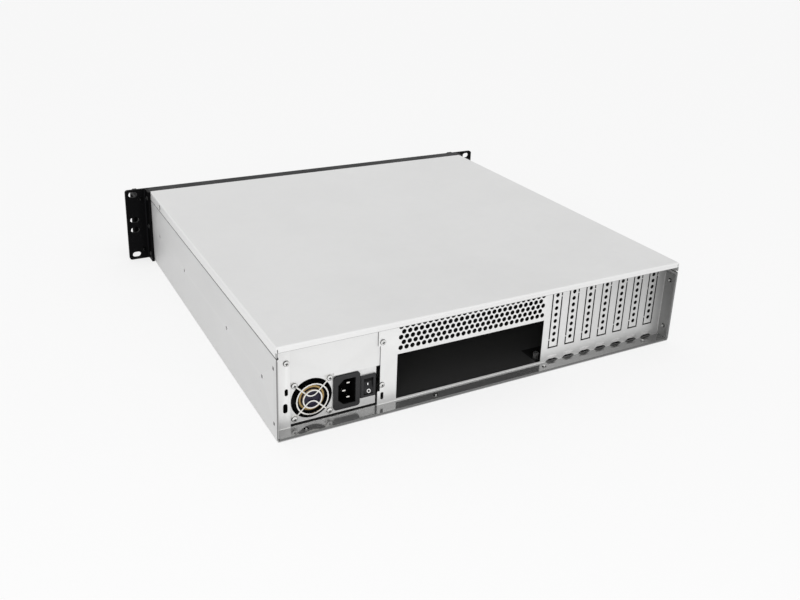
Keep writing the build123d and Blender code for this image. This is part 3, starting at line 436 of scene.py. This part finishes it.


# Painted shade inside the case, on the back of the rear panel with its hole walls, and inside the supply
inner_side = Area((-wall_x, None, floor_z), (wall_x, inside_y, cover_z), INSIDE_TONE, 0.5)
panel_back = Area((None, None, foot_z), (None, sheet_y, None), HOLE_TONE, 0.5)
supply_back = Area((None, None, None), (None, supply_y, None), HOLE_TONE, 0.5)
# Painted shade on the rear recess floor and walls, on the walls' cut rims and in the seam gaps
recess_floor = Area((-wall_x, recess_y, floor_z), (wall_x, None, flange_z), RECESS_FLOOR_TONE, 0.12)
recess_walls = both_sides((flange_x, recess_y, flange_z), (wall_x, None, recess_top_z), RECESS_WALL_TONE, 0.3)
wall_rims = both_sides((wall_x, rim_y, flange_z), (outer_x, None, None), RIM_TONE, 0.5)
seams = both_sides((seam_x, None, seam_low_z), (outer_x, None, seam_high_z), SEAM_TONE, 0.6)
# Painted shade on the floor under the arches
under_arches = Area((None, deep_y, None), (arches_x, arches_y, arches_z), ARCH_TONE, 0.6)
# Painted falloff of light: the rear panel darkens softly towards its far (-X) side
far_panel = Area((None, None, foot_z), (far_x, None, None), FAR_TONE, 0.38, FAR_SOFTNESS)
# Painted shadow line along the lower edge of the cover's rear hem
cover_hem = Area((None, hem_y, None), (None, None, hem_z), HEM_TONE, 0.5)
# Painted shade of the switch well on the rocker's top band
rocker_shade = Area((None, None, band_z), (None, None, None), ROCKER_TOP_TONE, 0.7)
# Painted shade of the rivet holes in the side walls
rivet_hole_shade = []
for level in RIVET_LEVELS:
    low = (wall_x, rivet_y - RIVET_REACH, level - RIVET_REACH)
    high = (outer_x, rivet_y + RIVET_REACH, level + RIVET_REACH)
    rivet_hole_shade += both_sides(low, high, RIM_TONE, 0.5)

tub_areas = [inner_side, recess_floor, *recess_walls, *wall_rims, *seams, under_arches, *rivet_hole_shade]
tub_steel = sheet_steel("tub_steel", TUB, 0.46, 0.45, 0.2, tub_areas)
cover_steel = sheet_steel("cover_steel", COVER, 0.46, 0.45, 0.2, [inner_side, cover_hem])
panel_areas = [far_panel, panel_back, recess_floor, *recess_walls]
panel_steel = sheet_steel("panel_steel", SHEET, 0.38, 0.7, 0.2, panel_areas)
plate_steel = sheet_steel("plate_steel", scaled(SHEET, PLATE_SHARE), 0.4, 0.7, 0.25)
# The inner parts' steel is painted dark as the shade inside the case
shaded_inner_steel = sheet_steel("shaded_inner_steel", SHADED_SHEET, 0.5, 0.7, 0.5)
supply_steel = sheet_steel("supply_steel", scaled(SHEET, PLATE_SHARE), 0.42, 0.7, 0.3, [supply_back])
black_coat = powder_coat("black_coat", (0.0016, 0.0016, 0.0018), 0.5)
strip_coat = powder_coat("strip_coat", (0.008, 0.008, 0.0085), 0.42)
fan_plastic = moulded_plastic("fan_plastic", (0.004, 0.004, 0.0045), 0.45, specular=0.2)
hub_plastic = moulded_plastic("hub_plastic", (0.012, 0.01, 0.024), 0.2, specular=0.25)
black_plastic = moulded_plastic("black_plastic", (0.012, 0.012, 0.013), 0.42, specular=0.4)
rocker_plastic = moulded_plastic("rocker_plastic", (0.011, 0.011, 0.012), 0.42, dull=[rocker_shade], specular=0.25)
socket_plastic = moulded_plastic("socket_plastic", (0.0015, 0.0015, 0.0015), 0.6, specular=0.1)
mark_paint = moulded_plastic("mark_paint", (0.82, 0.82, 0.8), 0.5, 0.1)
guard_plating = plated_metal("guard_plating", (0.86, 0.85, 0.82), 0.16)
screw_plating = plated_metal("screw_plating", (0.78, 0.78, 0.77), 0.24)
# screw_shade is dark plating painted as shade in the heads' recesses and on their sides
screw_shade = plated_metal("screw_shade", (0.07, 0.07, 0.07), 0.35)
pin_plating = plated_metal("pin_plating", (0.83, 0.81, 0.77), 0.18)
port_plating = plated_metal("port_plating", (0.42, 0.42, 0.43), 0.3)
ring_brass = plated_metal("ring_brass", (0.4, 0.28, 0.12), 0.2)
post_zinc = plated_metal("post_zinc", (0.76, 0.76, 0.75), 0.3)
laminate = board_laminate("laminate", (0.02, 0.09, 0.045))
lamp_clear = lamp_plastic("lamp_clear", (0.75, 0.78, 0.76))

MATERIALS = {
    tub_steel: ("chassis_tub",),
    cover_steel: ("top_cover",),
    panel_steel: ("rear_panel",),
    plate_steel: ("psu_adapter_plate",),
    shaded_inner_steel: ("front_bulkhead", "drive_cage", "cross_brace", "psu_bracket"),
    supply_steel: ("psu_case", "psu_lid"),
    black_coat: (
        "left_rack_ear",
        "right_rack_ear",
        "lower_bay_blank",
        "upper_bay_blank",
        "left_handle",
        "right_handle",
    ),
    strip_coat: ("front_panel",),
    fan_plastic: (
        "psu_fan_frame",
        "outer_fan_frame",
        "middle_fan_frame",
        "outer_fan_rotor",
        "middle_fan_rotor",
        "psu_fan_rotor",
        "front_switches",
        "board_spacers",
    ),
    black_plastic: ("power_inlet", "switch_bezel", "power_button", "reset_button"),
    rocker_plastic: ("switch_rocker",),
    guard_plating: ("psu_fan_guard",),
    screw_plating: (
        "rear_rivets",
        "plate_screws",
        "guard_screws",
        "ear_screws",
        "handle_screws",
        "cover_screws",
    ),
    pin_plating: ("inlet_pins",),
    port_plating: ("front_ports",),
    post_zinc: ("board_standoffs",),
    laminate: ("control_board",),
    lamp_clear: ("indicator_lamps",),
}
for material, names in MATERIALS.items():
    for name in names:
        nodes[name].data.materials.clear()
        nodes[name].data.materials.append(material)


def solids(node):
    """The separate solids of a CAD node, each as a list of its points."""
    mesh = nodes[node].data
    welded = {}
    owner = [welded.setdefault(tuple(round(c, 6) for c in v.co), v.index) for v in mesh.vertices]
    root = list(range(len(mesh.vertices)))

    def top(i):
        while root[i] != i:
            root[i] = root[root[i]]
            i = root[i]
        return i

    for polygon in mesh.polygons:
        first = top(owner[polygon.vertices[0]])
        for index in polygon.vertices:
            root[top(owner[index])] = first
    groups = {}
    for vertex in mesh.vertices:
        groups.setdefault(top(owner[vertex.index]), []).append(vertex.co.copy())
    return list(groups.values())


def fastener_place(points):
    """Seat, outward axis, head radius, head height and shank length of one headed fastener."""
    low = Vector([min(p[i] for p in points) for i in range(3)])
    high = Vector([max(p[i] for p in points) for i in range(3)])
    size = high - low
    spread = [abs(size[(i + 1) % 3] - size[(i + 2) % 3]) for i in range(3)]
    axis = spread.index(min(spread))
    centre = (low + high) / 2
    sides = [i for i in range(3) if i != axis]
    reach = [math.hypot(p[sides[0]] - centre[sides[0]], p[sides[1]] - centre[sides[1]]) for p in points]
    radius = max(reach)
    seat_level = sum(p[axis] for p, r in zip(points, reach) if r > 0.97 * radius)
    seat_level /= sum(1 for r in reach if r > 0.97 * radius)
    to_high = high[axis] - seat_level
    to_low = seat_level - low[axis]
    outward = 1 if to_high < to_low else -1
    seat = centre.copy()
    seat[axis] = seat_level
    direction = Vector((0, 0, 0))
    direction[axis] = outward
    return seat, direction, radius, min(to_high, to_low), max(to_high, to_low)


def revolved(mesh, profile, steps=TURN_STEPS):
    """Turns an outline of (radius, height) points round Z into the open mesh."""
    rings = []
    for radius, height in profile:
        if radius < 1e-7:
            rings.append([mesh.verts.new((0, 0, height))])
            continue
        turn = [2 * math.pi * k / steps for k in range(steps)]
        rings.append([mesh.verts.new((radius * math.cos(a), radius * math.sin(a), height)) for a in turn])
    for lower, upper in zip(rings, rings[1:]):
        for k in range(steps):
            nearby = [lower[k % len(lower)], lower[(k + 1) % len(lower)]]
            nearby += [upper[(k + 1) % len(upper)], upper[k % len(upper)]]
            corners = list(dict.fromkeys(nearby))
            if len(corners) > 2:
                mesh.faces.new(corners)


def finished(name, mesh, material, body, smooth=True):
    """Makes an object of an open mesh, with its material, and rides it on a CAD body."""
    bmesh.ops.recalc_face_normals(mesh, faces=mesh.faces)
    data = bpy.data.meshes.new(name)
    mesh.to_mesh(data)
    mesh.free()
    for polygon in data.polygons:
        polygon.use_smooth = smooth
    data.set_sharp_from_angle(angle=math.radians(35))
    data.materials.append(material)
    made = bpy.data.objects.new(name, data)
    bpy.context.scene.collection.objects.link(made)
    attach(made, body)
    return made


def arc(radius, rise, steps=DOME_STEPS):
    """Outline of a shallow dome, from its rim up to the axis."""
    quarter = [math.pi / 2 * k / steps for k in range(steps + 1)]
    return [(radius * math.cos(a), rise * math.sin(a)) for a in quarter]


def head_mesh(radius, height, shank, length, recess):
    """One pan head or rivet head with its shank, standing on Z = 0, as mesh data."""
    mesh = bmesh.new()
    rim = (PAN_RIM if recess else RIVET_RIM) * height
    dome = [(r, rim + z) for r, z in arc(radius, height - rim)]
    revolved(mesh, [(0, -length), (shank, -length), (shank, 0), (radius, 0)] + dome)
    bmesh.ops.recalc_face_normals(mesh, faces=mesh.faces)
    data = bpy.data.meshes.new("head")
    mesh.to_mesh(data)
    mesh.free()
    if not recess:
        return data
    body = bpy.data.objects.new("head", data)
    cutter_mesh = bmesh.new()
    for turn in (0, math.pi / 2):
        arm = bmesh.ops.create_cube(cutter_mesh, size=1)["verts"]
        for vertex in arm:
            narrow = 1 if vertex.co.z > 0 else RECESS_TAPER
            vertex.co.x *= 2 * radius * RECESS_SPAN * narrow
            vertex.co.y *= 2 * radius * RECESS_WIDTH * narrow
            vertex.co.z = height * (RECESS_ABOVE if vertex.co.z > 0 else 1 - RECESS_DEPTH)
        bmesh.ops.rotate(cutter_mesh, verts=arm, matrix=Matrix.Rotation(turn, 3, "Z"))
    cutter_data = bpy.data.meshes.new("cutter")
    cutter_mesh.to_mesh(cutter_data)
    cutter_mesh.free()
    cutter = bpy.data.objects.new("cutter", cutter_data)
    for made in (body, cutter):
        bpy.context.scene.collection.objects.link(made)
    modifier = body.modifiers.new("recess", "BOOLEAN")
    modifier.object = cutter
    modifier.operation = "DIFFERENCE"
    modifier.use_self = True
    bpy.context.view_layer.update()
    cut = bpy.data.meshes.new_from_object(body.evaluated_get(bpy.context.evaluated_depsgraph_get()))
    for made in (body, cutter):
        bpy.data.objects.remove(made)
    # Recesses and steep sides take the second material, screw_shade, as painted shade
    for polygon in cut.polygons:
        middle = polygon.center
        sunk = math.hypot(middle.x, middle.y) < RECESS_SPAN * radius and middle.z < height * 0.5
        steep = abs(polygon.normal.z) < 0.7
        polygon.material_index = int(sunk or steep)
    return cut


def dressed_fasteners(node, name, recess, plating, width=1.0):
    """Replaces a node of plain fasteners by rounded ones at the same seats; recesses and sides are darker with
    painted shade.
    """
    mesh = bmesh.new()
    for count, points in enumerate(solids(node)):
        seat, direction, radius, height, length = fastener_place(points)
        radius *= width
        head = head_mesh(radius, height, SHANK_SHARE * radius, length, recess)
        turn = Matrix.Rotation(HEAD_TWIST * (3 * count + 1), 4, "Z")
        place = Matrix.Translation(seat) @ direction.to_track_quat("Z", "Y").to_matrix().to_4x4() @ turn
        head.transform(place)
        mesh.from_mesh(head)
        bpy.data.meshes.remove(head)
    made = finished(name, mesh, plating, "case")
    made.data.materials.append(screw_shade)
    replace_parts(made, node)
    return made


dressed_fasteners("rear_rivets", "domed_rivets", False, screw_plating, width=RIVET_WIDTH)
for screw_node in ("plate_screws", "guard_screws", "cover_screws"):
    dressed_fasteners(screw_node, f"{screw_node}_cross", True, screw_plating)
for screw_node in ("ear_screws", "handle_screws"):
    dressed_fasteners(screw_node, f"{screw_node}_cross", True, black_coat)


def rounded_outline(low, high, corner, steps=5):
    """Points of a rectangle with round corners, from its low and high (x, z) limits."""
    points = []
    for count, (x, z) in enumerate(((high[0], high[1]), (low[0], high[1]), (low[0], low[1]), (high[0], low[1]))):
        centre_x = x - corner if x == high[0] else x + corner
        centre_z = z - corner if z == high[1] else z + corner
        for k in range(steps + 1):
            angle = math.pi / 2 * (count + k / steps)
            points.append((centre_x + corner * math.cos(angle), centre_z + corner * math.sin(angle)))
    return points


def upright_plate(mesh, outlines, back, front, rim=0.0):
    """Adds an upright plate between two depths, its first outline the rim and the rest its holes."""
    curve = bpy.data.curves.new("plate", "CURVE")
    curve.dimensions = "2D"
    curve.fill_mode = "BOTH"
    curve.extrude = (front - back) / 2 - rim
    curve.bevel_depth = rim
    curve.bevel_resolution = 2
    curve.offset = -rim
    for outline in outlines:
        spline = curve.splines.new("POLY")
        spline.points.add(len(outline) - 1)
        for point, (x, z) in zip(spline.points, outline):
            point.co = (x, z, 0, 1)
        spline.use_cyclic_u = True
    drawn = bpy.data.objects.new("plate", curve)
    flat = bpy.data.meshes.new_from_object(drawn)
    flat.transform(Matrix.Translation((0, (front + back) / 2, 0)) @ Matrix.Rotation(math.pi / 2, 4, "X"))
    mesh.from_mesh(flat)
    bpy.data.objects.remove(drawn)
    bpy.data.curves.remove(curve)
    bpy.data.meshes.remove(flat)


def grown(low, high, amount):
    """Limits of a rectangle grown on all sides."""
    return (low[0] - amount, low[1] - amount), (high[0] + amount, high[1] + amount)


# Mains inlet with round corners, a socket that is chamfered on the fan's side, and its three blades
inlet_low, inlet_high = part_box("power_inlet")
inlet_x = (inlet_low.x + inlet_high.x) / 2
inlet_z = (inlet_low.z + inlet_high.z) / 2
seat_y = inlet_high.y - INLET_FLANGE
plain_x, fan_x = inlet_x - SOCKET[0] / 2, inlet_x + SOCKET[0] / 2
socket_bottom, socket_top = inlet_z - SOCKET[1] / 2, inlet_z + SOCKET[1] / 2
socket = [
    (plain_x, socket_bottom),
    (fan_x - SOCKET_CHAMFER, socket_bottom),
    (fan_x, socket_bottom + SOCKET_CHAMFER),
    (fan_x, socket_top - SOCKET_CHAMFER),
    (fan_x - SOCKET_CHAMFER, socket_top),
    (plain_x, socket_top),
]
flange_limits = ((inlet_low.x, inlet_low.z), (inlet_high.x, inlet_high.z))
body_limits = grown(*flange_limits, -INLET_FLANGE)
flange_outline = rounded_outline(*flange_limits, FLANGE_CORNER)
body_outline = rounded_outline(*body_limits, BODY_CORNER)
socket_back = inlet_high.y - SOCKET_DEPTH
flange = bmesh.new()
upright_plate(flange, [flange_outline, socket], seat_y, inlet_high.y, FLANGE_RIM)
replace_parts(finished("inlet_flange", flange, black_plastic, "case"), "power_inlet")
body = bmesh.new()
upright_plate(body, [body_outline, socket], socket_back, seat_y + BODY_OVERLAP)
upright_plate(body, [body_outline], inlet_low.y, socket_back)
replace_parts(finished("inlet_body", body, socket_plastic, "case"), "power_inlet")

blades = bmesh.new()
for points in solids("inlet_pins"):
    x = sum(p.x for p in points) / len(points)
    z = sum(p.z for p in points) / len(points)
    blade_back, blade_front = min(p.y for p in points), max(p.y for p in points)
    blade_limits = ((x - BLADE[0] / 2, z - BLADE[1] / 2), (x + BLADE[0] / 2, z + BLADE[1] / 2))
    upright_plate(blades, [rounded_outline(*blade_limits, BLADE_CORNER, 3)], blade_back, blade_front, BLADE_TIP)
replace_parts(finished("level_blades", blades, pin_plating, "case"), "inlet_pins")

# Ring and cap over the motor mount of the supply's fan
fan_low, fan_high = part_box("psu_fan_frame")
fan_place = Matrix.Translation(((fan_low.x + fan_high.x) / 2, fan_high.y, (fan_low.z + fan_high.z) / 2))
outwards = Vector((0, 1, 0)).to_track_quat("Z", "Y").to_matrix().to_4x4()
hoop = bmesh.new()
curl = [math.pi * k / RING_ARCS for k in range(RING_ARCS + 1)]
revolved(hoop, [(RING_MIDDLE + RING_HALF * math.cos(a), RING_RISE * math.sin(a)) for a in curl], RING_STEPS)
bmesh.ops.transform(hoop, matrix=fan_place @ outwards, verts=hoop.verts)
finished("motor_ring", hoop, ring_brass, "case")
cap = bmesh.new()
revolved(cap, CAP_PROFILE, CAP_STEPS)
bmesh.ops.transform(cap, matrix=fan_place @ outwards, verts=cap.verts)
finished("motor_cap", cap, hub_plastic, "case")


# Folded edge of the supply's case beside the notch of the panel
case_low, case_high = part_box("psu_case")
strip_limits = (
    (case_low.x - EDGE_STRIP, EDGE_BOTTOM),
    (case_low.x + EDGE_OVERLAP, case_high.z - EDGE_TOP_DROP),
)
strip_outline = rounded_outline(*strip_limits, EDGE_CORNER, 2)
strip = bmesh.new()
upright_plate(strip, [strip_outline], case_high.y - EDGE_DEPTH[0], case_high.y - EDGE_DEPTH[1])
finished("supply_edge", strip, plate_steel, "case")


def facing_halves(node):
    """Centre and normal of the two largest faces of the rocker that look out of the supply."""
    found = {}
    for polygon in nodes[node].data.polygons:
        if polygon.normal.y > 0.6:
            key = tuple(round(c, 2) for c in polygon.normal)
            area, middle, normal = found.get(key, (0.0, Vector((0, 0, 0)), polygon.normal.copy()))
            found[key] = (area + polygon.area, middle + polygon.center * polygon.area, normal)
    halves = sorted(found.values(), key=lambda item: -item[0])[:2]
    placed = [(middle / area, normal) for area, middle, normal in halves]
    return sorted(placed, key=lambda item: item[0].z)


(low_middle, low_normal), (high_middle, high_normal) = facing_halves("switch_rocker")


def on_face(middle, normal, shift):
    """Place on a face of the rocker, moved along its slope."""
    across = Vector((1, 0, 0))
    slope = normal.cross(across).normalized()
    if slope.z < 0:
        slope = -slope
    turn = Matrix((across, normal.cross(across), normal)).transposed().to_4x4()
    return Matrix.Translation(middle + shift * slope) @ turn


# Rocker's marks: a bar and a ring on the two halves of its face
bar = bmesh.new()
bmesh.ops.create_cube(bar, size=1, matrix=Matrix.Diagonal((BAR_SIZE[0], BAR_SIZE[1], 2 * MARK_THICKNESS, 1)))
bmesh.ops.transform(bar, matrix=on_face(high_middle, high_normal, -BAR_DROP), verts=bar.verts)
finished("rocker_bar", bar, mark_paint, "rocker", smooth=False)
ring = bmesh.new()
ring_outer, ring_inner = RING_RADII
ring_profile = [
    (ring_inner, -MARK_THICKNESS),
    (ring_outer, -MARK_THICKNESS),
    (ring_outer, MARK_THICKNESS),
    (ring_inner, MARK_THICKNESS),
    (ring_inner, -MARK_THICKNESS),
]
revolved(ring, ring_profile)
bmesh.ops.remove_doubles(ring, verts=ring.verts, dist=1e-7)
bmesh.ops.transform(ring, matrix=on_face(low_middle, low_normal, -RING_DROP), verts=ring.verts)
finished("rocker_ring", ring, mark_paint, "rocker")

# Floor: pale to the camera, mirrors and glass, and keeping the shadow
floor_mesh = bmesh.new()
bmesh.ops.create_grid(floor_mesh, x_segments=1, y_segments=1, size=FLOOR_SIZE / 2)
floor_data = bpy.data.meshes.new("floor")
floor_mesh.to_mesh(floor_data)
floor_mesh.free()
floor = bpy.data.objects.new("floor", floor_data)
floor.location.z = cad_box[0].z - FLOOR_GAP
bpy.context.scene.collection.objects.link(floor)
floor_material = bpy.data.materials.new("floor")
floor_tree = Tree(floor_material)
shade = floor_tree.noise(floor_tree.place(), 3.0)
tone = floor_tree.mix(shade, (FLOOR_TONE,) * 3, (FLOOR_TONE + 0.03,) * 3)
floor_rough = floor_tree.ramp(shade, (0.2, 0.7), (0.8, 0.9))
floor_shader = floor_tree.surface(tone, floor_rough, floor_tree.bump(shade, 0.02, 0.0005))
glow = floor_tree.add("ShaderNodeEmission", {"Color": (1, 1, 1, 1), "Strength": 1.0}).outputs["Emission"]
share = floor_tree.add("ShaderNodeMath", {0: floor_tree.seen(), 1: FLOOR_GLOW}, operation="MULTIPLY")
lit = floor_tree.add("ShaderNodeMixShader", {"Fac": share.outputs["Value"]})
floor_tree.tree.links.new(floor_shader, lit.inputs[1])
floor_tree.tree.links.new(glow, lit.inputs[2])
floor_tree.add("ShaderNodeOutputMaterial", {"Surface": lit.outputs["Shader"]}, is_active_output=True)
floor_data.materials.append(floor_material)

# Sky: soft and even for the lighting, white to the camera and in reflections
world = bpy.data.worlds.new("sky")
bpy.context.scene.world = world
sky = Tree(world)
level = sky.add("ShaderNodeMapRange", {"Value": sky.seen(), "To Min": SKY_LEVEL, "To Max": 1.0})
background = sky.add("ShaderNodeBackground", {"Color": (1, 1, 1, 1), "Strength": level.outputs["Result"]})
sky.add("ShaderNodeOutputWorld", {"Surface": background.outputs["Background"]})

# Large soft lamp behind the case, left out of reflections so that the cover does not burn out
lamp = bpy.data.lights.new("rear_softbox", "AREA")
lamp.size = LAMP_SIZE
lamp.energy = LAMP_POWER
softbox = bpy.data.objects.new("rear_softbox", lamp)
softbox.location = LAMP_PLACE
softbox.visible_glossy = False
softbox.rotation_mode = "QUATERNION"
softbox.rotation_quaternion = (LAMP_TARGET - LAMP_PLACE).to_track_quat("-Z", "Y")
bpy.context.scene.collection.objects.link(softbox)
